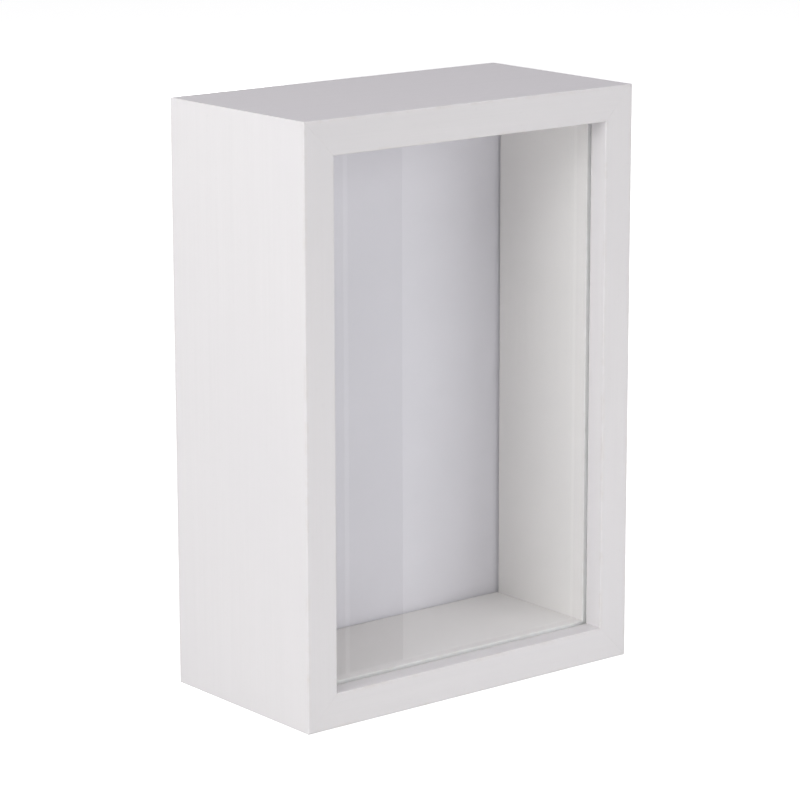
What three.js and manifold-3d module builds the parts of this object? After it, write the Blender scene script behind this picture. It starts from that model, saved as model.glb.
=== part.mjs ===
// Shadow box: a deep mitred box frame with a fixed front pane, loaded from the back.
// Millimetres. X is the width, Y the depth with the front at -Y, and Z is up.
// The origin is the middle of the underside.
import * as THREE from "three";
import { mergeVertices } from "three/addons/utils/BufferGeometryUtils.js";
import Module from "manifold-3d";

const wasm = await Module();
wasm.setup();

// Overall box.
const outerWidth = 229;
const outerDepth = 120;
const outerHeight = 331;

// Section of the frame moulding, measured inwards from the outer face and back from the front face.
const lipWidth = 19.5;
const lipThickness = 12;
const wallThickness = 12.5;
const rimThickness = 4;
const recessDepth = 15.4; // from the back edge to the ledge that carries the hardware

// Clearances.
const seatGap = 0.3; // between pieces that rest on each other
const sideGap = 0.5; // from the pane and the boards to the walls beside them
const boardFloat = 2; // from the liner to the display board
const ledgeStep = 0.5; // from the backing board to the ledge behind it
const holeGap = 0.3; // round a shank or a pin

// What the frame holds, front to back.
const glassThickness = 2;
const linerProud = 1.7; // from the sight edge of the lip in to the liner's face
const displayBoardThickness = 10;
const backingBoardThickness = 3;

// Turn buttons: tapered steel plates that pivot near one end.
const buttonThickness = 1.2;
const buttonReach = 16; // from the pivot to the middle of the small end
const buttonTipRadius = 2.6;
const hardwareMargin = 0.75; // from the button or strap to the edges of the ledge
const stileButtonSpacing = 140;

// Pan head screws.
const screwShankRadius = 1.3;
const screwHeadRadius = 2.9;
const screwHeadHeight = 1.7;
const screwBite = 9; // length in the wood
const screwTipLength = 2.5;
const crossLength = 3.2;
const crossWidth = 0.8;
const crossDepth = 0.9;

// Strap hangers with a swinging ring.
const hangerInset = 45; // from the top of the frame down to the ring's pivot
const strapThickness = 1.6;
const strapLength = 18; // from the pivot down to the end of the strap
const strapScrewInset = 4; // from the end of the strap up to its screw
const neckLength = 4;
const barrelWall = 0.8;
const ringWireRadius = 0.6;
const ringReach = 9; // from the pivot to the middle of the wire at the far side
const ringMargin = 0.35; // from the ring to the edges of the ledge

// V nails: thin steel bent to a right angle.
const nailThickness = 0.8;
const nailLength = 15;
const nailMargin = 1.6; // from the nail to the edges of the ledge
const nailsPerCorner = 2;

// Fineness of the round shapes.
const roundSegments = 24;
const wireSegments = 12;
const overshoot = 1; // how far a cutter runs past the face that it opens

// Places worked out from the sizes above. Depths are measured back from the front face.
const glassFront = lipThickness + seatGap;
const linerFront = glassFront + glassThickness + seatGap;
const ledgeDepth = outerDepth - recessDepth;
const backingBoardFront = ledgeDepth - ledgeStep - backingBoardThickness;
const displayBoardFront = backingBoardFront - seatGap - displayBoardThickness;
const linerDepth = displayBoardFront - boardFloat - linerFront;
const rabbetWidth = outerWidth - 2 * wallThickness;
const rabbetHeight = outerHeight - 2 * wallThickness;
const linerThickness = lipWidth - wallThickness - seatGap + linerProud;
const ledgeWidth = wallThickness - rimThickness;
const ledgeMiddle = (wallThickness + rimThickness) / 2;
const frontY = -outerDepth / 2;
const middleZ = outerHeight / 2;

const whitePaint = { color: 0xe6e4e4, roughness: 0.55, metalness: 0 };
const linerPaint = { color: 0xe2e0df, roughness: 0.6, metalness: 0 };
const coatedBoard = { color: 0xdcdce2, roughness: 0.75, metalness: 0 };
const fibreboard = { color: 0x8a6a48, roughness: 0.85, metalness: 0 };
const clearGlass = { color: 0xe8f0ee, roughness: 0.05, metalness: 0 };
const zincPlate = { color: 0xb9bcc0, roughness: 0.35, metalness: 1 };
const nailSteel = { color: 0x7f8286, roughness: 0.5, metalness: 1 };

// A closed three.js geometry as a solid that can be joined and cut.
function solid(geometry) {
  const bare = geometry.clone();
  bare.deleteAttribute("normal");
  bare.deleteAttribute("uv");
  const merged = mergeVertices(bare);
  return new wasm.Manifold(
    new wasm.Mesh({
      numProp: 3,
      vertProperties: merged.attributes.position.array,
      triVerts: new Uint32Array(merged.index.array),
    }),
  );
}

// A solid as a three.js geometry again.
function geometryOf(body) {
  const { vertProperties, triVerts } = body.getMesh();
  const geometry = new THREE.BufferGeometry();
  geometry.setAttribute("position", new THREE.BufferAttribute(vertProperties, 3));
  geometry.setIndex(new THREE.BufferAttribute(triVerts, 1));
  geometry.computeVertexNormals();
  return geometry;
}

function named(name, geometry, finish) {
  const mesh = new THREE.Mesh(geometry, new THREE.MeshStandardMaterial(finish));
  mesh.name = name;
  return mesh;
}

// A box between two corners.
function block(low, high) {
  const size = high.map((value, axis) => value - low[axis]);
  const middle = high.map((value, axis) => (value + low[axis]) / 2);
  return new THREE.BoxGeometry(...size).translate(...middle);
}

// A round bar along Y from one depth to another.
function roundBar(radius, from, to, segments = roundSegments) {
  return new THREE.CylinderGeometry(radius, radius, to - from, segments).translate(0, (from + to) / 2, 0);
}

// A round bar along X, centred on the origin.
function crossBar(radius, length, segments) {
  return new THREE.CylinderGeometry(radius, radius, length, segments).rotateZ(Math.PI / 2);
}

// An outline drawn in X and Z, thickened from y = 0 backwards.
function plate(outline, thickness) {
  const geometry = new THREE.ExtrudeGeometry(outline, {
    depth: thickness,
    bevelEnabled: false,
    curveSegments: roundSegments / 2,
  });
  return geometry.rotateX(Math.PI / 2).translate(0, thickness, 0);
}

// Outline of a V nail with the outside of its bend at the origin and its legs towards -X and -Z, grown by a
// clearance on every side.
function nailOutline(grow) {
  const leg = ledgeWidth - 2 * nailMargin;
  const outline = new THREE.Shape();
  outline.moveTo(grow, grow);
  outline.lineTo(-leg - grow, grow);
  outline.lineTo(-leg - grow, -nailThickness - grow);
  outline.lineTo(-nailThickness - grow, -nailThickness - grow);
  outline.lineTo(-nailThickness - grow, -leg - grow);
  outline.lineTo(grow, -leg - grow);
  outline.closePath();
  return outline;
}

// Distance from the outside of a V nail's bend to both outer faces of the frame.
const nailCorner = wallThickness - nailMargin;
const nailSlotDepth = nailsPerCorner * (nailLength + seatGap) + seatGap;

// One moulding with mitred ends. In its own frame X runs inwards from the outer face, Y back from the
// front face and Z along the length. holes lists where along the length a screw goes into the ledge.
function moulding(length, holes) {
  const section = new THREE.Shape();
  section.moveTo(0, 0);
  section.lineTo(lipWidth, 0);
  section.lineTo(lipWidth, lipThickness);
  section.lineTo(wallThickness, lipThickness);
  section.lineTo(wallThickness, ledgeDepth);
  section.lineTo(rimThickness, ledgeDepth);
  section.lineTo(rimThickness, outerDepth);
  section.lineTo(0, outerDepth);
  section.closePath();
  const bar = new THREE.ExtrudeGeometry(section, { depth: 1, bevelEnabled: false });
  const endGap = (seatGap / 2) * Math.SQRT2;
  const points = bar.getAttribute("position");
  for (let i = 0; i < points.count; i += 1) {
    const side = points.getZ(i) > 0.5 ? 1 : -1;
    points.setZ(i, side * (length / 2 - endGap - points.getX(i)));
  }
  let body = solid(bar);
  const holeBottom = ledgeDepth - screwBite - seatGap;
  for (const place of holes) {
    const hole = roundBar(screwShankRadius + holeGap, holeBottom, ledgeDepth + overshoot);
    body = body.subtract(solid(hole.translate(ledgeMiddle, 0, place)));
  }
  for (const side of [-1, 1]) {
    const slot = plate(nailOutline(seatGap), nailSlotDepth + overshoot);
    slot.rotateY(side > 0 ? Math.PI / 2 : 0);
    slot.translate(nailCorner, ledgeDepth - nailSlotDepth, side * (length / 2 - nailCorner));
    body = body.subtract(solid(slot));
  }
  return geometryOf(body);
}

// A pan head screw along Y. The underside of its head is at y = 0 and grip is what it holds down.
function screw(grip) {
  const tip = -grip - screwBite;
  const crown = new THREE.EllipseCurve(0, 0, screwHeadRadius, screwHeadHeight, 0, Math.PI / 2);
  const profile = [
    new THREE.Vector2(0, tip),
    new THREE.Vector2(screwShankRadius, tip + screwTipLength),
    new THREE.Vector2(screwShankRadius, 0),
    ...crown.getPoints(6),
  ];
  profile[profile.length - 1].x = 0;
  let body = solid(new THREE.LatheGeometry(profile, roundSegments));
  for (const [x, z] of [[crossLength, crossWidth], [crossWidth, crossLength]]) {
    const groove = block(
      [-x / 2, screwHeadHeight - crossDepth, -z / 2],
      [x / 2, screwHeadHeight + overshoot, z / 2],
    );
    body = body.subtract(solid(groove));
  }
  return geometryOf(body);
}

// A turn button with its pivot at the origin, its small end towards +X and its underside at y = 0.
function turnButton() {
  const heelRadius = ledgeWidth / 2 - hardwareMargin;
  const lean = Math.acos((heelRadius - buttonTipRadius) / buttonReach);
  const outline = new THREE.Shape();
  outline.absarc(buttonReach, 0, buttonTipRadius, -lean, lean, false);
  outline.absarc(0, 0, heelRadius, lean, 2 * Math.PI - lean, false);
  outline.closePath();
  const hole = new THREE.Path();
  hole.absarc(0, 0, screwShankRadius + holeGap, 0, 2 * Math.PI, true);
  outline.holes.push(hole);
  return plate(outline, buttonThickness);
}

// Height of the ring's pivot above the underside of its strap.
const pivotHeight = strapThickness + seatGap + ringWireRadius;
const ringHalfWidth = ledgeWidth / 2 - ringMargin - ringWireRadius;
const barrelLength = 2 * (ringHalfWidth - ringWireRadius - holeGap);
const hangerScrewDrop = strapLength - strapScrewInset;

// A strap hanger with the ring's pivot over the origin and its underside at y = 0.
function hangerStrap() {
  const barrelRadius = ringWireRadius + holeGap + barrelWall;
  const halfWidth = ledgeWidth / 2 - hardwareMargin;
  const tail = block([-halfWidth, 0, -strapLength], [halfWidth, strapThickness, -neckLength]);
  const neck = block([-barrelLength / 2, 0, -neckLength - overshoot], [barrelLength / 2, strapThickness, 0]);
  const barrel = crossBar(barrelRadius, barrelLength, roundSegments).translate(0, pivotHeight, 0);
  const bore = crossBar(ringWireRadius + holeGap, barrelLength + 2 * overshoot, roundSegments);
  const hole = roundBar(screwShankRadius + holeGap, -overshoot, strapThickness + overshoot);
  return geometryOf(
    solid(tail)
      .add(solid(neck))
      .add(solid(barrel))
      .subtract(solid(bore.translate(0, pivotHeight, 0)))
      .subtract(solid(hole.translate(0, 0, -hangerScrewDrop))),
  );
}

// A D ring that hangs down from a straight bar at the origin.
function hangerRing() {
  const bendDrop = ringReach - ringHalfWidth;
  const clear = ringWireRadius + overshoot;
  const torus = new THREE.TorusGeometry(ringHalfWidth, ringWireRadius, wireSegments, 2 * roundSegments);
  torus.rotateX(Math.PI / 2).translate(0, 0, -bendDrop);
  const lowerHalf = block(
    [-ringHalfWidth - clear, -clear, -ringReach - clear],
    [ringHalfWidth + clear, clear, -bendDrop],
  );
  let body = solid(torus).intersect(solid(lowerHalf));
  body = body.add(solid(crossBar(ringWireRadius, 2 * ringHalfWidth, wireSegments)));
  for (const side of [-1, 1]) {
    const leg = new THREE.CylinderGeometry(ringWireRadius, ringWireRadius, bendDrop, wireSegments);
    leg.rotateX(Math.PI / 2).translate(side * ringHalfWidth, 0, -bendDrop / 2);
    const elbow = new THREE.SphereGeometry(ringWireRadius, wireSegments, wireSegments / 2);
    elbow.translate(side * ringHalfWidth, 0, 0);
    body = body.add(solid(leg)).add(solid(elbow));
  }
  return geometryOf(body);
}

const shadowBox = new THREE.Group();

// Frame: two stiles and two rails, each turned so that its outer face is outermost.
const buttonPlaces = [-stileButtonSpacing / 2, stileButtonSpacing / 2];
const hangerPivotZ = outerHeight - hangerInset;
const hangerScrewPlace = hangerPivotZ - hangerScrewDrop - middleZ;
const sides = [
  { name: "frame_left_stile", length: outerHeight, x: -outerWidth / 2, z: middleZ, turn: 0 },
  { name: "frame_right_stile", length: outerHeight, x: outerWidth / 2, z: middleZ, turn: Math.PI },
  { name: "frame_top_rail", length: outerWidth, x: 0, z: outerHeight, turn: Math.PI / 2 },
  { name: "frame_bottom_rail", length: outerWidth, x: 0, z: 0, turn: -Math.PI / 2 },
];
for (const { name, length, x, z, turn } of sides) {
  const isStile = length === outerHeight;
  const along = turn === Math.PI ? -1 : 1;
  const holes = isStile ? [...buttonPlaces, along * hangerScrewPlace] : [0];
  const bar = named(name, moulding(length, holes), whitePaint);
  bar.position.set(x, frontY, z);
  bar.rotation.y = turn;
  shadowBox.add(bar);
}

// V nails, stacked in a slot across each mitre.
const corners = [
  { name: "bottom_left", x: -1, z: -1, turn: 0 },
  { name: "bottom_right", x: 1, z: -1, turn: -Math.PI / 2 },
  { name: "top_right", x: 1, z: 1, turn: Math.PI },
  { name: "top_left", x: -1, z: 1, turn: Math.PI / 2 },
];
for (const corner of corners) {
  for (let n = 0; n < nailsPerCorner; n += 1) {
    const nail = named(`v_nail_${corner.name}_${n + 1}`, plate(nailOutline(0), nailLength), nailSteel);
    const depth = ledgeDepth - (n + 1) * (nailLength + seatGap);
    nail.position.set(
      corner.x * (outerWidth / 2 - nailCorner),
      frontY + depth,
      middleZ + corner.z * (outerHeight / 2 - nailCorner),
    );
    nail.rotation.y = corner.turn;
    shadowBox.add(nail);
  }
}

// A flat sheet or strip centred across the box, between two depths.
function sheet(name, width, height, front, thickness, finish) {
  const body = named(name, new THREE.BoxGeometry(width, thickness, height), finish);
  body.position.set(0, frontY + front + thickness / 2, middleZ);
  shadowBox.add(body);
  return body;
}

const sheetWidth = rabbetWidth - 2 * sideGap;
const sheetHeight = rabbetHeight - 2 * sideGap;
sheet("glass_pane", sheetWidth, sheetHeight, glassFront, glassThickness, clearGlass);
sheet("display_board", sheetWidth, sheetHeight, displayBoardFront, displayBoardThickness, coatedBoard);
sheet("backing_board", sheetWidth, sheetHeight, backingBoardFront, backingBoardThickness, fibreboard);

// Liner: full-height strips at the sides, with the top and bottom strips between them.
const sideStripX = rabbetWidth / 2 - seatGap - linerThickness / 2;
const sideStripHeight = rabbetHeight - 2 * seatGap;
const endStripWidth = rabbetWidth - 2 * (2 * seatGap + linerThickness);
const endStripZ = rabbetHeight / 2 - seatGap - linerThickness / 2;
for (const [side, direction] of [["left", -1], ["right", 1]]) {
  const strip = sheet(`liner_${side}`, linerThickness, sideStripHeight, linerFront, linerDepth, linerPaint);
  strip.position.x = direction * sideStripX;
}
for (const [side, direction] of [["bottom", -1], ["top", 1]]) {
  const strip = sheet(`liner_${side}`, endStripWidth, linerThickness, linerFront, linerDepth, linerPaint);
  strip.position.z = middleZ + direction * endStripZ;
}

// Turn buttons on the ledge, each held by a screw and lying open along the ledge.
const stileX = outerWidth / 2 - ledgeMiddle;
const railZ = outerHeight / 2 - ledgeMiddle;
const down = Math.PI / 2;
const turnButtons = [
  { name: "left_lower", x: -stileX, z: buttonPlaces[0], turn: down },
  { name: "left_upper", x: -stileX, z: buttonPlaces[1], turn: down },
  { name: "right_lower", x: stileX, z: buttonPlaces[0], turn: down },
  { name: "right_upper", x: stileX, z: buttonPlaces[1], turn: down },
  { name: "top", x: 0, z: railZ, turn: 0 },
  { name: "bottom", x: 0, z: -railZ, turn: 0 },
];
const buttonGrip = seatGap + buttonThickness + seatGap;
for (const { name, x, z, turn } of turnButtons) {
  const assembly = new THREE.Group();
  const button = named(`turn_button_${name}`, turnButton(), zincPlate);
  button.position.y = seatGap;
  button.rotation.y = turn;
  const pin = named(`turn_button_screw_${name}`, screw(buttonGrip), zincPlate);
  pin.position.y = buttonGrip;
  assembly.add(button, pin);
  assembly.position.set(x, frontY + ledgeDepth, middleZ + z);
  shadowBox.add(assembly);
}

// Hangers on the stiles near the top, with their rings hanging down.
const strapGrip = seatGap + strapThickness + seatGap;
for (const [side, direction] of [["left", -1], ["right", 1]]) {
  const assembly = new THREE.Group();
  const strap = named(`hanger_strap_${side}`, hangerStrap(), zincPlate);
  strap.position.y = seatGap;
  const ring = named(`hanger_ring_${side}`, hangerRing(), zincPlate);
  ring.position.y = seatGap + pivotHeight;
  const pin = named(`hanger_screw_${side}`, screw(strapGrip), zincPlate);
  pin.position.set(0, strapGrip, -hangerScrewDrop);
  assembly.add(strap, ring, pin);
  assembly.position.set(direction * stileX, frontY + ledgeDepth, hangerPivotZ);
  shadowBox.add(assembly);
}

export default shadowBox;
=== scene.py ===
"""Shadow box: a deep white box frame with a fixed pane, a lined cavity and a back held by turn buttons.

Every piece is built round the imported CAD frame, in metres, and rides on one of its bodies.
"""

import math

import bmesh
import bpy
from mathutils import Matrix, Vector


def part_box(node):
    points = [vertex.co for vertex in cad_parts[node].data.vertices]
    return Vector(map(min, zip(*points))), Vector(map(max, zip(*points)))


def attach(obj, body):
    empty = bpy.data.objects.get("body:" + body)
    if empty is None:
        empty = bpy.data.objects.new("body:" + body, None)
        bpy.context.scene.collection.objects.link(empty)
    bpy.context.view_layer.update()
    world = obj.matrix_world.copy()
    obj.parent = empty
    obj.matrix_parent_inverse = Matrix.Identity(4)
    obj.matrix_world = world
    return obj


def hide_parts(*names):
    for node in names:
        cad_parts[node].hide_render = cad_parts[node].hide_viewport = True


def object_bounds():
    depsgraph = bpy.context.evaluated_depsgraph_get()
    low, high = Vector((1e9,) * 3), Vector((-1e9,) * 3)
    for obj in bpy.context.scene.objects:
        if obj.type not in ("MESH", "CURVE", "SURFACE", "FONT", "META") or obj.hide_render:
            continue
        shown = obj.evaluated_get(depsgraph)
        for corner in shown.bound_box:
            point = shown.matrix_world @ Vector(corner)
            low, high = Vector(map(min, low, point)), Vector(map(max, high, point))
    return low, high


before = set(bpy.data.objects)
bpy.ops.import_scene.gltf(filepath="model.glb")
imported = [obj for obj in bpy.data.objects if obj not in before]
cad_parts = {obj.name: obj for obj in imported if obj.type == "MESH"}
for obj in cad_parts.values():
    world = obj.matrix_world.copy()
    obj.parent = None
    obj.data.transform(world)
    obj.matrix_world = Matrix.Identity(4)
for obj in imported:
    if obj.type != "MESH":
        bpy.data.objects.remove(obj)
cad_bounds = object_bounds()
MM = 0.001

# ---------------------------------------------------------------------------------------------
# Places read from the frame
# ---------------------------------------------------------------------------------------------
low, high = cad_bounds
OUTER_X = high.x
FRONT_Y, BACK_Y = low.y, high.y
HEIGHT = high.z
MIDDLE_Z = HEIGHT / 2
DEPTH = BACK_Y - FRONT_Y

glass_low, glass_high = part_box("glass_pane")
board_low, board_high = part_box("display_board")
backing_low, backing_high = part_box("backing_board")
button_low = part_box("turn_button_top")[0]

SEAT_GAP = 0.3 * MM
PANE_SIDE_GAP = 0.5 * MM
LIP_THICKNESS = glass_low.y - FRONT_Y - SEAT_GAP
WALL = OUTER_X - glass_high.x - PANE_SIDE_GAP
LIP_WIDTH = 19.5 * MM
RIM = 4 * MM
LEDGE_Y = button_low.y - SEAT_GAP
LEDGE_DEPTH = LEDGE_Y - FRONT_Y


# ---------------------------------------------------------------------------------------------
# Material graphs
# ---------------------------------------------------------------------------------------------
class Graph:
    """A material's node tree, with short calls that add a node and link its inputs."""

    def __init__(self, name):
        self.material = bpy.data.materials.new(name)
        self.material.use_nodes = True
        self.tree = self.material.node_tree
        self.tree.nodes.clear()
        self.output = self.tree.nodes.new("ShaderNodeOutputMaterial")

    def add(self, kind, inputs=(), **settings):
        node = self.tree.nodes.new(kind)
        for key, value in settings.items():
            setattr(node, key, value)
        for key, value in dict(inputs).items():
            self.feed(node.inputs[key], value)
        return node

    def feed(self, socket, value):
        if isinstance(value, bpy.types.NodeSocket):
            self.tree.links.new(value, socket)
        else:
            socket.default_value = value

    def place(self, scale):
        """Object coordinates in metres, stretched by scale, so that a bigger number is a finer pattern."""
        where = self.add("ShaderNodeTexCoord").outputs["Object"]
        return self.add("ShaderNodeMapping", {"Vector": where, "Scale": scale}).outputs["Vector"]

    def noise(self, scale, detail=3.0, roughness=0.5, size=1.0, distortion=0.0):
        inputs = {
            "Vector": self.place(scale),
            "Scale": size,
            "Detail": detail,
            "Roughness": roughness,
            "Distortion": distortion,
        }
        return self.add("ShaderNodeTexNoise", inputs).outputs["Fac"]

    def spread(self, value, from_low, from_high, to_low, to_high):
        inputs = {1: from_low, 2: from_high, 3: to_low, 4: to_high, 0: value}
        return self.add("ShaderNodeMapRange", inputs).outputs["Result"]

    def math(self, operation, first, second=0.0, clamp=False):
        node = self.add("ShaderNodeMath", {0: first, 1: second}, operation=operation)
        node.use_clamp = clamp
        return node.outputs[0]

    def mix(self, factor, first, second):
        node = self.add("ShaderNodeMix", data_type="RGBA")
        self.feed(node.inputs["Factor"], factor)
        self.feed(node.inputs["A"], first)
        self.feed(node.inputs["B"], second)
        return node.outputs["Result"]

    def attribute(self, name):
        return self.add("ShaderNodeAttribute", attribute_name=name).outputs["Fac"]

    def bump(self, height, distance, strength=1.0, normal=None):
        inputs = {"Height": height, "Distance": distance, "Strength": strength}
        if normal is not None:
            inputs["Normal"] = normal
        return self.add("ShaderNodeBump", inputs).outputs["Normal"]

    def principled(self, inputs):
        shader = self.add("ShaderNodeBsdfPrincipled", inputs)
        self.tree.links.new(shader.outputs["BSDF"], self.output.inputs["Surface"])
        return shader


def rgb(red, green, blue):
    return (red, green, blue, 1.0)


def stretched(along, fine, long):
    """A pattern scale that is fine across a length that runs along one axis."""
    return tuple(long if axis == along else fine for axis in "XYZ")


def painted_wood(name, along, colour, gloss=0.42, brush=1.0):
    """Sprayed satin paint over a sanded moulding: faint lengthwise sanding and brush marks, fine orange peel,
    and thinner paint on the eased edges."""
    g = Graph(name)
    streaks = g.noise(stretched(along, 900, 14), detail=4, roughness=0.6)
    grain = g.noise(stretched(along, 260, 5), detail=3, roughness=0.55)
    clouds = g.noise((9, 9, 9), detail=2)
    peel = g.noise((1600, 1600, 1600), detail=2, roughness=0.45)
    dust = g.noise((420, 420, 420), detail=1)
    edge = g.attribute("edge")
    broken = g.spread(g.noise((95, 95, 95), detail=4, roughness=0.7), 0.46, 0.72, 0.0, 1.0)
    tone = g.math("ADD", g.math("MULTIPLY", streaks, 0.5), g.math("MULTIPLY", grain, 0.5))
    shade = tuple(c * 0.978 for c in colour)
    tint = tuple(c * 1.01 for c in colour)
    base = g.mix(g.spread(tone, 0.32, 0.68, 0.0, 1.0), rgb(*shade), rgb(*tint))
    cloudy = tuple(c * f for c, f in zip(colour, (0.975, 0.975, 0.985)))
    base = g.mix(g.spread(clouds, 0.4, 0.7, 0.0, 0.45), base, rgb(*cloudy))
    base = g.mix(g.spread(dust, 0.66, 0.8, 0.0, 0.22), base, rgb(*(c * 0.9 for c in colour)))
    worn = g.math("MULTIPLY", g.math("MULTIPLY", edge, broken), 0.4)
    base = g.mix(worn, base, rgb(0.66, 0.615, 0.56))
    rough = g.spread(g.math("ADD", streaks, peel), 0.7, 1.3, gloss - 0.05, gloss + 0.08)
    relief = g.bump(streaks, 0.00004 * brush, 0.45)
    relief = g.bump(grain, 0.00007 * brush, 0.35, relief)
    relief = g.bump(peel, 0.00002, 0.6, relief)
    g.principled({"Base Color": base, "Roughness": rough, "Normal": relief, "Specular IOR Level": 0.42})
    return g.material


OVERSPRAY_FULL = 14 * MM
OVERSPRAY_GONE = 22 * MM


def raw_fibreboard(name):
    """Bare MDF inside the rabbet: pressed brown fibres with flecks, and overspray that fades with depth."""
    g = Graph(name)
    fibres = g.noise((700, 700, 700), detail=5, roughness=0.7)
    flecks = g.noise((240, 240, 1100), detail=3, roughness=0.6, distortion=0.8)
    base = g.mix(g.spread(fibres, 0.3, 0.7, 0.0, 1.0), rgb(0.2, 0.125, 0.07), rgb(0.33, 0.23, 0.14))
    base = g.mix(g.spread(flecks, 0.58, 0.72, 0.0, 0.6), base, rgb(0.16, 0.095, 0.05))
    depth = g.add("ShaderNodeSeparateXYZ", {0: g.place((1, 1, 1))}).outputs["Y"]
    ragged = g.math("MULTIPLY_ADD", g.noise((160, 160, 160), detail=4, roughness=0.7), 6 * MM)
    ragged.node.inputs[2].default_value = -3 * MM
    shifted = g.math("ADD", depth, ragged)
    overspray = g.spread(shifted, FRONT_Y + OVERSPRAY_FULL, FRONT_Y + OVERSPRAY_GONE, 1.0, 0.0)
    base = g.mix(overspray, base, rgb(0.76, 0.75, 0.74))
    relief = g.bump(fibres, 0.00025, 0.8)
    rough = g.spread(fibres, 0.3, 0.7, 0.82, 0.95)
    g.principled({"Base Color": base, "Roughness": rough, "Normal": relief, "Specular IOR Level": 0.2})
    return g.material


def coated_board(name):
    """Clay-coated paper of a foam board: cool white, nearly flat, with a fine tooth."""
    g = Graph(name)
    tooth = g.noise((1400, 1400, 1400), detail=4, roughness=0.6)
    clouds = g.noise((14, 14, 14), detail=3, roughness=0.6)
    fibres = g.noise((260, 260, 900), detail=3, roughness=0.6, distortion=0.5)
    base = g.mix(g.spread(clouds, 0.35, 0.7, 0.0, 1.0), rgb(0.845, 0.828, 0.885), rgb(0.865, 0.848, 0.905))
    base = g.mix(g.spread(fibres, 0.62, 0.8, 0.0, 0.25), base, rgb(0.80, 0.785, 0.84))
    relief = g.bump(tooth, 0.00003, 0.5)
    relief = g.bump(clouds, 0.0004, 0.12, relief)
    rough = g.spread(tooth, 0.3, 0.7, 0.6, 0.72)
    g.principled({"Base Color": base, "Roughness": rough, "Normal": relief, "Specular IOR Level": 0.35})
    return g.material


def foam_core(name):
    """The cut edge of a foam board: closed cells, slightly ragged from the knife."""
    g = Graph(name)
    place = g.place((1500, 1500, 1500))
    cells = g.add("ShaderNodeTexVoronoi", {"Vector": place, "Scale": 1.0}).outputs["Distance"]
    drag = g.noise((90, 900, 90), detail=3, roughness=0.6)
    base = g.mix(g.spread(cells, 0.1, 0.7, 0.0, 1.0), rgb(0.82, 0.82, 0.83), rgb(0.66, 0.66, 0.68))
    base = g.mix(g.spread(drag, 0.4, 0.7, 0.0, 0.3), base, rgb(0.6, 0.6, 0.62))
    relief = g.bump(cells, 0.0002, 0.8)
    rough = g.spread(cells, 0.0, 0.8, 0.7, 0.9)
    g.principled({"Base Color": base, "Roughness": rough, "Normal": relief, "Specular IOR Level": 0.3})
    return g.material


def hardboard(name, screened):
    """Brown hardboard: a smooth pressed face, or the back face with the print of the press screen."""
    g = Graph(name)
    fibres = g.noise((520, 520, 520), detail=5, roughness=0.68, distortion=0.6)
    clouds = g.noise((22, 22, 22), detail=3, roughness=0.6)
    chips = g.noise((130, 130, 210), detail=2, distortion=1.2)
    base = g.mix(g.spread(fibres, 0.32, 0.68, 0.0, 1.0), rgb(0.235, 0.135, 0.065), rgb(0.36, 0.225, 0.12))
    base = g.mix(g.spread(clouds, 0.35, 0.7, 0.0, 0.5), base, rgb(0.29, 0.165, 0.08))
    base = g.mix(g.spread(chips, 0.64, 0.74, 0.0, 0.5), base, rgb(0.46, 0.31, 0.18))
    relief = g.bump(fibres, 0.00015, 0.7)
    if screened:
        where = g.add("ShaderNodeSeparateXYZ", {0: g.add("ShaderNodeTexCoord").outputs["Object"]})
        plane = {"X": where.outputs["X"], "Y": where.outputs["Z"]}
        across = g.add("ShaderNodeCombineXYZ", plane).outputs[0]
        mapped = g.add("ShaderNodeMapping", {"Vector": across, "Scale": (330, 330, 330)}).outputs["Vector"]
        wires = {"Vector": mapped, "Scale": 1.0, "Mortar Size": 0.08, "Brick Width": 0.5, "Row Height": 0.25}
        print_of_screen = g.add("ShaderNodeTexBrick", wires).outputs["Fac"]
        relief = g.bump(print_of_screen, 0.00022, 0.6, relief)
        base = g.mix(g.math("MULTIPLY", print_of_screen, 0.35), base, rgb(0.17, 0.09, 0.042))
    rough = g.spread(fibres, 0.3, 0.7, 0.62, 0.85)
    g.principled({"Base Color": base, "Roughness": rough, "Normal": relief, "Specular IOR Level": 0.35})
    return g.material


def zinc_plate(name, along, tone=1.0):
    """Bright zinc plating on pressed steel: rolling lines, a mottled passivated film and scuffed edges."""
    g = Graph(name)
    lines = g.noise(stretched(along, 2600, 90), detail=4, roughness=0.6)
    film = g.noise((190, 190, 190), detail=4, roughness=0.65, distortion=0.7)
    spots = g.noise((650, 650, 650), detail=2)
    edge = g.attribute("edge")
    light = rgb(0.84 * tone, 0.85 * tone, 0.87 * tone)
    base = g.mix(g.spread(film, 0.32, 0.7, 0.0, 1.0), light, rgb(0.68 * tone, 0.71 * tone, 0.77 * tone))
    base = g.mix(g.spread(spots, 0.62, 0.75, 0.0, 0.35), base, rgb(0.52 * tone, 0.5 * tone, 0.46 * tone))
    base = g.mix(g.math("MULTIPLY", edge, 0.5), base, rgb(0.92 * tone, 0.92 * tone, 0.92 * tone))
    rough = g.spread(g.math("ADD", lines, film), 0.7, 1.3, 0.24, 0.46)
    relief = g.bump(lines, 0.00001, 0.5)
    relief = g.bump(spots, 0.00002, 0.35, relief)
    g.principled({"Base Color": base, "Metallic": 1.0, "Roughness": rough, "Normal": relief})
    return g.material


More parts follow.
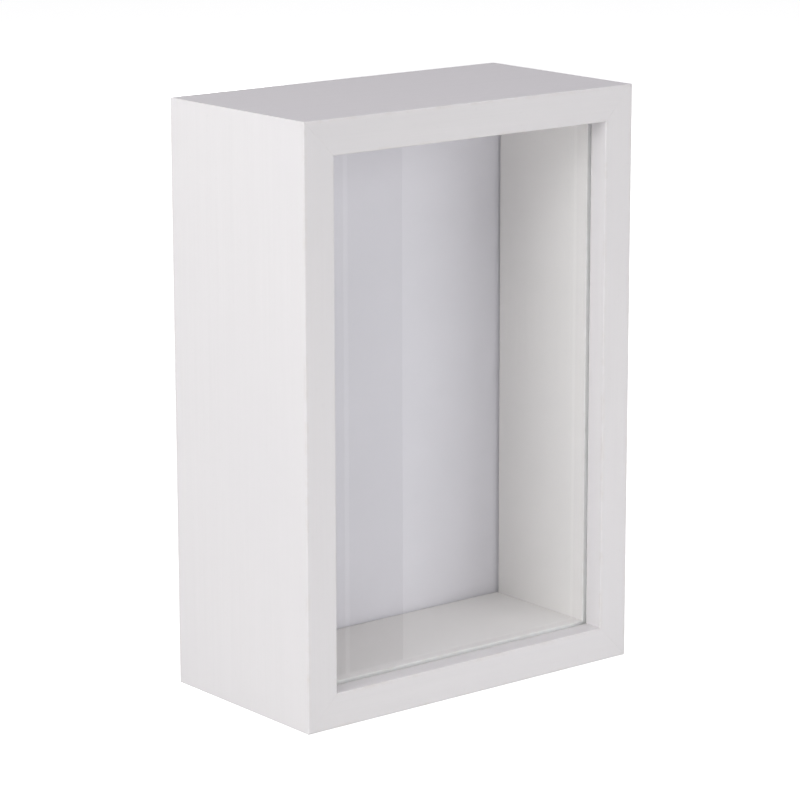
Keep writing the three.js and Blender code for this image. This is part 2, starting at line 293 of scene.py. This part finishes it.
def nail_steel(name):
    """Plain steel of a driven nail, dulled and with specks of rust."""
    g = Graph(name)
    film = g.noise((420, 420, 420), detail=4, roughness=0.7)
    specks = g.noise((900, 900, 900), detail=3, roughness=0.6)
    base = g.mix(g.spread(film, 0.3, 0.7, 0.0, 1.0), rgb(0.33, 0.34, 0.36), rgb(0.46, 0.46, 0.47))
    base = g.mix(g.spread(specks, 0.6, 0.72, 0.0, 0.55), base, rgb(0.2, 0.11, 0.06))
    rough = g.spread(film, 0.3, 0.7, 0.38, 0.62)
    relief = g.bump(specks, 0.00003, 0.6)
    g.principled({"Base Color": base, "Metallic": 1.0, "Roughness": rough, "Normal": relief})
    return g.material


def clear_glass(name):
    """Float glass with a trace of green. Lamps and scattered light pass straight through it."""
    g = Graph(name)
    ripple = g.noise((11, 11, 11), detail=1)
    smears = g.noise((38, 38, 120), detail=3, roughness=0.6, distortion=1.4)
    tone = g.mix(g.spread(smears, 0.35, 0.75, 0.0, 1.0), rgb(0.985, 0.995, 0.99), rgb(0.972, 0.986, 0.98))
    relief = g.bump(ripple, 0.00002, 0.2)
    rough = g.spread(smears, 0.5, 0.8, 0.0, 0.012)
    glass = g.add(
        "ShaderNodeBsdfPrincipled",
        {
            "Base Color": tone,
            "Roughness": rough,
            "IOR": 1.5,
            "Transmission Weight": 1.0,
            "Normal": relief,
        },
    )
    clear = g.add("ShaderNodeBsdfTransparent", {"Color": rgb(0.978, 0.982, 0.98)})
    path = g.add("ShaderNodeLightPath")
    inner = g.add("ShaderNodeMixShader", {0: path.outputs["Is Shadow Ray"], 1: glass.outputs[0]})
    g.feed(inner.inputs[2], clear.outputs[0])
    outer = g.add("ShaderNodeMixShader", {0: path.outputs["Is Diffuse Ray"], 1: inner.outputs[0]})
    g.feed(outer.inputs[2], clear.outputs[0])
    g.tree.links.new(outer.outputs[0], g.output.inputs["Surface"])
    return g.material


WHITE = (0.778, 0.762, 0.763)
LINER_WHITE = (0.85, 0.828, 0.808)
# The liner ends that face the front get a whiter copy of the liner paint. This is painted light: they are
# brighter than the liner because the lamps reach these ends too little.
LINER_END_PAINTED_LIGHT = (0.96, 0.95, 0.945)
PAINT_STILE = painted_wood("paint_stile", "Z", WHITE)
PAINT_RAIL = painted_wood("paint_rail", "X", WHITE)
PAINT_LINER_UP = painted_wood("paint_liner_upright", "Z", LINER_WHITE, gloss=0.5, brush=0.8)
PAINT_LINER_ACROSS = painted_wood("paint_liner_across", "X", LINER_WHITE, gloss=0.5, brush=0.8)
# Painted light: the whiter liner paint for the strips' front ends.
PAINT_LINER_END_LIT = painted_wood("paint_liner_end_painted_light", "X", LINER_END_PAINTED_LIGHT, gloss=0.5, brush=0.5)
RAW_WOOD = raw_fibreboard("raw_fibreboard")
BOARD_PAPER = coated_board("coated_board")
BOARD_FOAM = foam_core("foam_core")
HARDBOARD_SMOOTH = hardboard("hardboard_face", screened=False)
HARDBOARD_BACK = hardboard("hardboard_screen_back", screened=True)
ZINC_X = zinc_plate("zinc_across", "X")
ZINC_Z = zinc_plate("zinc_upright", "Z")
ZINC_SCREW = zinc_plate("zinc_screw", "Y", tone=0.92)
NAIL = nail_steel("nail_steel")
GLASS = clear_glass("float_glass")


# ---------------------------------------------------------------------------------------------
# Mesh helpers
# ---------------------------------------------------------------------------------------------
SHARP_ANGLE = math.radians(38)


def new_piece(name, mesh, body, materials, replaced=()):
    """Puts a finished mesh in the scene as a piece that rides on a body and stands for CAD nodes."""
    piece = bpy.data.objects.new(name, mesh)
    bpy.context.scene.collection.objects.link(piece)
    for material in materials:
        mesh.materials.append(material)
    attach(piece, body)
    if replaced:
        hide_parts(*replaced)
    return piece


def smooth(mesh, angle=SHARP_ANGLE):
    mesh.shade_smooth()
    mesh.set_sharp_from_angle(angle=angle)


def rounded_profile(corners, segments=4, flat_run=1.5 * MM):
    """Closed outline with its corners rounded. corners is a list of (x, y, radius). Returns the points and
    their edge weights: 1 on the rounds and 0 on the flats, with a support point where each flat begins."""
    points, weights = [], []
    count = len(corners)
    for i, (x, y, radius) in enumerate(corners):
        here = Vector((x, y))
        before = Vector(corners[i - 1][:2])
        after = Vector(corners[(i + 1) % count][:2])
        way_in = (before - here).normalized()
        way_out = (after - here).normalized()
        centre = here + (way_in + way_out) * radius
        run_in = min(flat_run, (before - here).length * 0.3)
        run_out = min(flat_run, (after - here).length * 0.3)
        points.append(here + way_in * (radius + run_in))
        weights.append(0.0)
        for k in range(segments + 1):
            turn = math.pi / 2 * k / segments
            points.append(centre - way_out * radius * math.cos(turn) - way_in * radius * math.sin(turn))
            weights.append(1.0)
        points.append(here + way_out * (radius + run_out))
        weights.append(0.0)
    return points, weights


def inset(points, amount):
    """The outline moved inwards by amount, for one that runs anticlockwise."""
    moved = []
    for i, point in enumerate(points):
        before = (point - points[i - 1]).normalized()
        after = (points[(i + 1) % len(points)] - point).normalized()
        normal = Vector((-(before.y + after.y), before.x + after.x)).normalized()
        moved.append(point + normal * amount)
    return moved


def prism(bm, outline, depth_from, depth_to, matrix):
    """A straight prism over an outline in X and Z, as a cutter."""
    near = [bm.verts.new(matrix @ Vector((x, depth_from, z))) for x, z in outline]
    far = [bm.verts.new(matrix @ Vector((x, depth_to, z))) for x, z in outline]
    bm.faces.new(near)
    bm.faces.new(list(reversed(far)))
    count = len(outline)
    for i in range(count):
        j = (i + 1) % count
        bm.faces.new((near[j], near[i], far[i], far[j]))


def circle(radius, segments=24):
    """Outline of a round hole."""
    turns = [2 * math.pi * k / segments for k in range(segments)]
    return [(radius * math.cos(t), radius * math.sin(t)) for t in turns]


def cut(piece, fill_cutter):
    """Cuts the shapes that fill_cutter adds to a mesh out of a piece, and leaves a plain mesh behind."""
    bm = bmesh.new()
    fill_cutter(bm)
    bmesh.ops.recalc_face_normals(bm, faces=bm.faces)
    cutter_mesh = bpy.data.meshes.new("cutter")
    bm.to_mesh(cutter_mesh)
    bm.free()
    for material in piece.data.materials:
        cutter_mesh.materials.append(material)
    for face in cutter_mesh.polygons:
        face.material_index = len(piece.data.materials) - 1
    cutter = bpy.data.objects.new("cutter", cutter_mesh)
    bpy.context.scene.collection.objects.link(cutter)
    modifier = piece.modifiers.new("cut", "BOOLEAN")
    modifier.operation = "DIFFERENCE"
    modifier.solver = "EXACT"
    modifier.object = cutter
    bpy.context.view_layer.update()
    evaluated = piece.evaluated_get(bpy.context.evaluated_depsgraph_get())
    result = bpy.data.meshes.new_from_object(evaluated)
    piece.modifiers.clear()
    old = piece.data
    piece.data = result
    bpy.data.meshes.remove(old)
    bpy.data.objects.remove(cutter)
    bpy.data.meshes.remove(cutter_mesh)


# ---------------------------------------------------------------------------------------------
# Frame mouldings
# ---------------------------------------------------------------------------------------------
MITRE_GAP = 0.02 * MM
MITRE_EASE = 0.045 * MM
NAIL_MARGIN = 1.6 * MM
NAIL_CORNER = WALL - NAIL_MARGIN
NAIL_LEG = WALL - RIM - 2 * NAIL_MARGIN
NAIL_THICKNESS = 0.8 * MM
NAIL_SLOT_DEPTH = 31 * MM
SCREW_HOLE_RADIUS = 1.5 * MM
SCREW_HOLE_DEPTH = 9.5 * MM
LEDGE_MIDDLE = (WALL + RIM) / 2
OUTER_ROUND = 0.7 * MM
LIP_ROUND = 0.6 * MM
LIP_BACK_ROUND = 0.12 * MM
SEAT_ROUND = 0.25 * MM
LEDGE_ROUND = 0.3 * MM
RIM_ROUND = 0.5 * MM


def moulding_mesh(name, length):
    """One moulding in its own frame: X runs inwards from the outer face, Y back from the front face and Z
    along it."""
    corners = [
        (0, 0, OUTER_ROUND),
        (LIP_WIDTH, 0, LIP_ROUND),
        (LIP_WIDTH, LIP_THICKNESS, LIP_BACK_ROUND),
        (WALL, LIP_THICKNESS, SEAT_ROUND),
        (WALL, LEDGE_DEPTH, LEDGE_ROUND),
        (RIM, LEDGE_DEPTH, LEDGE_ROUND),
        (RIM, DEPTH, RIM_ROUND),
        (0, DEPTH, OUTER_ROUND),
    ]
    outline, weights = rounded_profile(corners)
    sunk = inset(outline, MITRE_EASE)
    bm = bmesh.new()
    edge = bm.verts.layers.float.new("edge")
    rings = []
    half = length / 2
    for side, back_off, points in (
        (-1, MITRE_GAP / 2, sunk),
        (-1, MITRE_GAP / 2 + MITRE_EASE, outline),
        (1, MITRE_GAP / 2 + MITRE_EASE, outline),
        (1, MITRE_GAP / 2, sunk),
    ):
        ring = []
        for point, weight in zip(points, weights):
            end = half - point.x - back_off * math.sqrt(2)
            vertex = bm.verts.new((point.x, point.y, side * end))
            vertex[edge] = weight
            ring.append(vertex)
        rings.append(ring)
    count = len(outline)
    raw_from = LIP_THICKNESS + 0.1 * MM
    raw_to = LEDGE_DEPTH - 0.4 * MM
    for first, second in zip(rings, rings[1:]):
        for i in range(count):
            j = (i + 1) % count
            face = bm.faces.new((first[i], first[j], second[j], second[i]))
            middle = (outline[i] + outline[j]) / 2
            inside = abs(middle.x - WALL) < 0.05 * MM and raw_from < middle.y < raw_to
            face.material_index = 1 if inside else 0
    for ring in (rings[0], rings[-1]):
        cap = bm.faces.new(ring)
        cap.material_index = 1
    bmesh.ops.recalc_face_normals(bm, faces=bm.faces)
    mesh = bpy.data.meshes.new(name)
    bm.to_mesh(mesh)
    bm.free()
    return mesh


def nail_slot():
    """Outline of the slot for a V nail, from the outside of its bend towards -X and -Z."""
    g, leg, thick = SEAT_GAP, NAIL_LEG, NAIL_THICKNESS
    return [
        (g, g),
        (-leg - g, g),
        (-leg - g, -thick - g),
        (-thick - g, -thick - g),
        (-thick - g, -leg - g),
        (g, -leg - g),
    ]


def moulding(name, length, turn, place, material, holes):
    """Makes one side of the frame. holes lists where the screw holes in its ledge are along its length."""
    mesh = moulding_mesh(name, length)
    piece = new_piece(name + "_moulding", mesh, "frame", [material, RAW_WOOD], [name])

    def cutters(bm):
        for along in holes:
            prism(bm, circle(SCREW_HOLE_RADIUS), LEDGE_DEPTH - SCREW_HOLE_DEPTH, LEDGE_DEPTH + MM,
                  Matrix.Translation((LEDGE_MIDDLE, 0, along)))
        for side in (-1, 1):
            spin = Matrix.Rotation(math.radians(90) if side > 0 else 0, 4, "Y")
            spot = Matrix.Translation((NAIL_CORNER, 0, side * (length / 2 - NAIL_CORNER)))
            prism(bm, nail_slot(), LEDGE_DEPTH - NAIL_SLOT_DEPTH, LEDGE_DEPTH + MM, spot @ spin)

    cut(piece, cutters)
    piece.data.transform(Matrix.Translation(place) @ Matrix.Rotation(turn, 4, "Y"))
    smooth(piece.data)
    piece.modifiers.new("even_normals", "WEIGHTED_NORMAL").keep_sharp = True


def centre_of(node):
    """Middle of a node's box."""
    node_low, node_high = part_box(node)
    return (node_low + node_high) / 2


button_z = [centre_of("turn_button_screw_left_lower").z, centre_of("turn_button_screw_left_upper").z]
hanger_z = centre_of("hanger_screw_left").z
left_holes = [z - MIDDLE_Z for z in (*button_z, hanger_z)]
right_holes = [MIDDLE_Z - z for z in (*button_z, hanger_z)]
WIDTH = 2 * OUTER_X
moulding("frame_left_stile", HEIGHT, 0, (-OUTER_X, FRONT_Y, MIDDLE_Z), PAINT_STILE, left_holes)
moulding("frame_right_stile", HEIGHT, math.pi, (OUTER_X, FRONT_Y, MIDDLE_Z), PAINT_STILE, right_holes)
moulding("frame_top_rail", WIDTH, math.pi / 2, (0, FRONT_Y, HEIGHT), PAINT_RAIL, [0])
moulding("frame_bottom_rail", WIDTH, -math.pi / 2, (0, FRONT_Y, 0), PAINT_RAIL, [0])


# ---------------------------------------------------------------------------------------------
# Liner strips, boards and glass
# ---------------------------------------------------------------------------------------------
def slice_across(bm, axis, at):
    """Adds a loop of edges where a plane across one axis meets the mesh."""
    spot = Vector((0, 0, 0))
    spot[axis] = at
    normal = Vector((0, 0, 0))
    normal[axis] = 1
    geometry = bm.verts[:] + bm.edges[:] + bm.faces[:]
    bmesh.ops.bisect_plane(bm, geom=geometry, plane_co=spot, plane_no=normal)


def eased_slab(name, slab_low, slab_high, ease, segments=3, bands=()):
    """A board with eased edges and support loops. bands cuts it at fractions of its depth, from the front, so
    that its layers can take different finishes."""
    bm = bmesh.new()
    bmesh.ops.create_cube(bm, size=1)
    size = Vector(slab_high) - Vector(slab_low)
    middle = (Vector(slab_high) + Vector(slab_low)) / 2
    for vertex in bm.verts:
        vertex.co = Vector(vertex.co[i] * size[i] for i in range(3)) + middle
    bmesh.ops.bevel(bm, geom=bm.edges[:], offset=ease, segments=segments, profile=0.5, affect="EDGES")
    edge = bm.verts.layers.float.new("edge")
    for vertex in bm.verts:
        vertex[edge] = 1.0
    for axis in range(3):
        run = ease + min(1.5 * MM, size[axis] * 0.2)
        slice_across(bm, axis, slab_low[axis] + run)
        slice_across(bm, axis, slab_high[axis] - run)
    inner_low = [slab_low[i] + ease + 0.02 * MM for i in range(3)]
    inner_high = [slab_high[i] - ease - 0.02 * MM for i in range(3)]
    for vertex in bm.verts:
        inside = sum(inner_low[i] < vertex.co[i] < inner_high[i] for i in range(3))
        vertex[edge] = 0.0 if inside >= 2 else 1.0
    for fraction in bands:
        slice_across(bm, 1, slab_low.y + fraction * size.y)
    bmesh.ops.recalc_face_normals(bm, faces=bm.faces)
    mesh = bpy.data.meshes.new(name)
    bm.to_mesh(mesh)
    bm.free()
    return mesh


def slab_piece(name, mesh, body, materials, node):
    """Puts a slab in the scene in place of one CAD node."""
    piece = new_piece(name, mesh, body, materials, [node])
    smooth(mesh)
    piece.modifiers.new("even_normals", "WEIGHTED_NORMAL").keep_sharp = True


LINER_EASE = 0.25 * MM
LINER_TO_GLASS = 0.05 * MM
PANE_FORWARD = 0.22 * MM  # the pane pressed against the lip
FLOOR_STRIP_BACK = 1.3 * MM  # the bottom strip runs further back than its solid, towards the board
LINER_JOINT = 0.05 * MM
for side in ("left", "right", "bottom", "top"):
    node = "liner_" + side
    strip_low, strip_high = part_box(node)
    strip_low.y = glass_high.y - PANE_FORWARD + LINER_TO_GLASS
    if side == "bottom":
        strip_high.y += FLOOR_STRIP_BACK
    if side in ("bottom", "top"):
        strip_low.x -= SEAT_GAP - LINER_JOINT
        strip_high.x += SEAT_GAP - LINER_JOINT
    paint = PAINT_LINER_ACROSS if side in ("bottom", "top") else PAINT_LINER_UP
    strip = eased_slab(node + "_strip", strip_low, strip_high, LINER_EASE)
    # Faces towards the front take the whiter end paint, a painted highlight on the strips' front ends.
    for face in strip.polygons:
        face.material_index = 1 if face.normal.y < -0.5 else 0
    slab_piece(node + "_strip", strip, "frame", [paint, PAINT_LINER_END_LIT], node)

PAPER = 0.035  # share of the foam board's thickness
board = eased_slab("foam_board", board_low, board_high, 0.18 * MM, segments=2, bands=(PAPER, 1 - PAPER))
board_span = board_high.y - board_low.y
for face in board.polygons:
    share = (face.center.y - board_low.y) / board_span
    face.material_index = 1 if PAPER < share < 1 - PAPER and abs(face.normal.y) < 0.5 else 0
slab_piece("foam_board", board, "back_panel", [BOARD_PAPER, BOARD_FOAM], "display_board")

backing = eased_slab("hardboard_back", backing_low, backing_high, 0.25 * MM, segments=2)
for face in backing.polygons:
    face.material_index = 1 if face.normal.y > 0.9 else 0
slab_piece("hardboard_back", backing, "back_panel", [HARDBOARD_SMOOTH, HARDBOARD_BACK],
           "backing_board")

pane_low, pane_high = glass_low.copy(), glass_high.copy()
pane_low.y -= PANE_FORWARD
pane_high.y -= PANE_FORWARD
pane = eased_slab("glass_sheet", pane_low, pane_high, 0.2 * MM, segments=1)
slab_piece("glass_sheet", pane, "frame", [GLASS], "glass_pane")


# ---------------------------------------------------------------------------------------------
# Hardware
# ---------------------------------------------------------------------------------------------
def finish_node(node, material, ease):
    """Gives a CAD node its material and eased edges. Its own mesh stays as it is."""
    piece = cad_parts[node]
    for place in piece.material_slots:
        place.link = "OBJECT"
        place.material = material
    weld = piece.modifiers.new("weld", "WELD")
    weld.merge_threshold = 0.00001
    flat = piece.modifiers.new("flats", "DECIMATE")
    flat.decimate_type = "DISSOLVE"
    flat.angle_limit = math.radians(2)
    bevel = piece.modifiers.new("ease", "BEVEL")
    bevel.width = ease
    bevel.segments = 2
    bevel.limit_method = "ANGLE"
    bevel.angle_limit = math.radians(40)
    piece.modifiers.new("even_normals", "WEIGHTED_NORMAL")


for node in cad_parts:
    if node.startswith("v_nail"):
        finish_node(node, NAIL, 0.08 * MM)
    elif "screw" in node:
        finish_node(node, ZINC_SCREW, 0.06 * MM)
    elif node.startswith("turn_button"):
        across = node.endswith(("_top", "_bottom"))
        finish_node(node, ZINC_X if across else ZINC_Z, 0.18 * MM)
    elif node.startswith("hanger_strap"):
        finish_node(node, ZINC_Z, 0.15 * MM)
    elif node.startswith("hanger_ring"):
        finish_node(node, ZINC_Z, 0.05 * MM)

# ---------------------------------------------------------------------------------------------
# Stage, lights and camera
# ---------------------------------------------------------------------------------------------
scene = bpy.context.scene
scene.view_settings.view_transform = "Standard"
scene.view_settings.look = "None"
scene.view_settings.exposure = 0.0
scene.view_settings.gamma = 1.0

FLOOR_SIZE = 14.0
FLOOR_DROP = 0.2 * MM


def make_floor(name, drop, glow, seen_by):
    """A pale floor just under the box, seen only by the given kinds of ray. One is the white ground in the
    picture, and the other is what throws light back up at the box."""
    bm = bmesh.new()
    bmesh.ops.create_grid(bm, x_segments=2, y_segments=2, size=FLOOR_SIZE / 2)
    for vertex in bm.verts:
        vertex.co.z = -drop
    mesh = bpy.data.meshes.new(name)
    bm.to_mesh(mesh)
    bm.free()
    g = Graph(name)
    mottle = g.noise((3, 3, 3), detail=2)
    tone = g.mix(mottle, rgb(0.8, 0.8, 0.8), rgb(0.82, 0.82, 0.82))
    g.principled({
        "Base Color": tone,
        "Roughness": 0.9,
        "Specular IOR Level": 0.1,
        "Emission Color": rgb(1, 1, 1),
        "Emission Strength": glow,
    })
    floor = bpy.data.objects.new(name, mesh)
    scene.collection.objects.link(floor)
    mesh.materials.append(g.material)
    for kind in ("camera", "diffuse", "glossy", "transmission", "volume_scatter", "shadow"):
        setattr(floor, "visible_" + kind, kind in seen_by)


make_floor("studio_floor", FLOOR_DROP, 0.9, ("camera",))
make_floor("bounce_floor", 2 * FLOOR_DROP, 0.0, ("diffuse",))

AMBIENT = 0.016
REFLECTED_ROOM = 0.24
SEEN_ROOM = 1.0


def make_world():
    """A white room: dim as a source of light, because the lamps do that, brighter where it is mirrored, and
    white where the camera sees it."""
    world = bpy.data.worlds.new("studio")
    scene.world = world
    world.use_nodes = True
    tree = world.node_tree
    tree.nodes.clear()
    output = tree.nodes.new("ShaderNodeOutputWorld")
    path = tree.nodes.new("ShaderNodeLightPath")
    mixes = []
    for ray, strength in (("Is Glossy Ray", REFLECTED_ROOM), ("Is Camera Ray", SEEN_ROOM)):
        mix = tree.nodes.new("ShaderNodeMixShader")
        seen = tree.nodes.new("ShaderNodeBackground")
        seen.inputs["Color"].default_value = rgb(1, 1, 1)
        seen.inputs["Strength"].default_value = strength
        tree.links.new(path.outputs[ray], mix.inputs[0])
        tree.links.new(seen.outputs[0], mix.inputs[2])
        mixes.append(mix)
    ambient = tree.nodes.new("ShaderNodeBackground")
    ambient.inputs["Color"].default_value = rgb(1, 1, 1)
    ambient.inputs["Strength"].default_value = AMBIENT
    tree.links.new(ambient.outputs[0], mixes[0].inputs[1])
    for first, second in zip(mixes, mixes[1:]):
        tree.links.new(first.outputs[0], second.inputs[1])
    tree.links.new(mixes[-1].outputs[0], output.inputs["Surface"])


make_world()

BOX_MIDDLE = Vector((0, 0, MIDDLE_Z))


def area_lamp(name, azimuth, elevation, distance, size, power, colour=(1, 1, 1)):
    """A soft rectangular lamp that faces the box. Azimuth 0 is the front and negative is the left."""
    a, e = math.radians(azimuth), math.radians(elevation)
    out = Vector((math.sin(a) * math.cos(e), -math.cos(a) * math.cos(e), math.sin(e)))
    lamp = bpy.data.lights.new(name, "AREA")
    lamp.shape = "RECTANGLE"
    lamp.size, lamp.size_y = size
    lamp.energy = power
    lamp.color = colour
    holder = bpy.data.objects.new(name, lamp)
    scene.collection.objects.link(holder)
    holder.location = BOX_MIDDLE + out * distance
    holder.rotation_mode = "QUATERNION"
    holder.rotation_quaternion = out.to_track_quat("Z", "Y")
    holder.visible_glossy = False
    holder.visible_camera = False


SOFTBOX = (1.2, 1.2)
LAMPS = [
    ("lamp_left", -82, 12, 2.4, SOFTBOX, 33.6),
    ("lamp_front_left", -62, 8, 2.4, SOFTBOX, 1.8),
    ("lamp_front_right", 27, 12, 2.4, SOFTBOX, 16.4),
    ("lamp_high_left", -50, 40, 2.4, SOFTBOX, 10.6),
    ("lamp_top", 0, 88, 2.4, (1.8, 1.8), 31.4, (0.955, 0.925, 1.0)),
    ("lamp_low", 4, -20, 0.46, (0.3, 0.05), 0.22),
    ("lamp_rear", 160, 4, 2.4, SOFTBOX, 24.0),
]
for lamp in LAMPS:
    area_lamp(*lamp)


def glow_card(name, near, far, bottom, top, strength):
    """An upright glowing card from one place on the ground to another, seen only where it is mirrored."""
    bm = bmesh.new()
    for (x, y), z in ((near, bottom), (far, bottom), (far, top), (near, top)):
        bm.verts.new((x, y, z))
    bm.faces.new(bm.verts[:])
    mesh = bpy.data.meshes.new(name)
    bm.to_mesh(mesh)
    bm.free()
    g = Graph(name)
    glow = g.add("ShaderNodeEmission", {"Color": rgb(1, 1, 1), "Strength": strength})
    g.tree.links.new(glow.outputs[0], g.output.inputs["Surface"])
    mesh.materials.append(g.material)
    card = bpy.data.objects.new(name, mesh)
    scene.collection.objects.link(card)
    for kind in ("camera", "diffuse", "transmission", "volume_scatter", "shadow"):
        setattr(card, "visible_" + kind, False)


def reflected_card(name, near_x, far_x, strength, distance=1.6):
    """A tall card in front of the box. Its upright edges are where the camera sees them reflected at near_x
    and far_x on the glass."""
    mirrored = Vector((CAMERA_PLACE.x, 2 * glass_low.y - CAMERA_PLACE.y, 0))
    edges = []
    for place_x in (near_x, far_x):
        spot = Vector((place_x, glass_low.y, 0))
        edge = spot + (spot - mirrored).normalized() * distance
        edges.append((edge.x, edge.y))
    glow_card(name, *edges, -2.0, 2.4, strength)


CAMERA_PLACE = Vector((-1.14717, -1.42613, 0.58262))
CAMERA_AZIMUTH = math.radians(-38.732)
CAMERA_ELEVATION = math.radians(13.096)
CAMERA_ROLL = math.radians(-0.119)
reflected_card("window_card", -40 * MM, 900 * MM, 1.3)
reflected_card("window_strip", -80 * MM, -77 * MM, 1.0, 1.5)
glow_card("rear_card", (-1.7, 1.7), (0.3, 1.7), 0.0, 1.5, 1.3)

camera_data = bpy.data.cameras.new("camera")
camera_data.sensor_width = 36
camera_data.lens = 151.104
camera_data.clip_start = 0.01
camera_data.clip_end = 100
camera = bpy.data.objects.new("camera", camera_data)
scene.collection.objects.link(camera)
pan = Matrix.Rotation(CAMERA_AZIMUTH, 4, "Z")
tilt = Matrix.Rotation(math.radians(90) - CAMERA_ELEVATION, 4, "X")
roll = Matrix.Rotation(CAMERA_ROLL, 4, "Z")
camera.matrix_world = Matrix.Translation(CAMERA_PLACE) @ pan @ tilt @ roll
scene.camera = camera
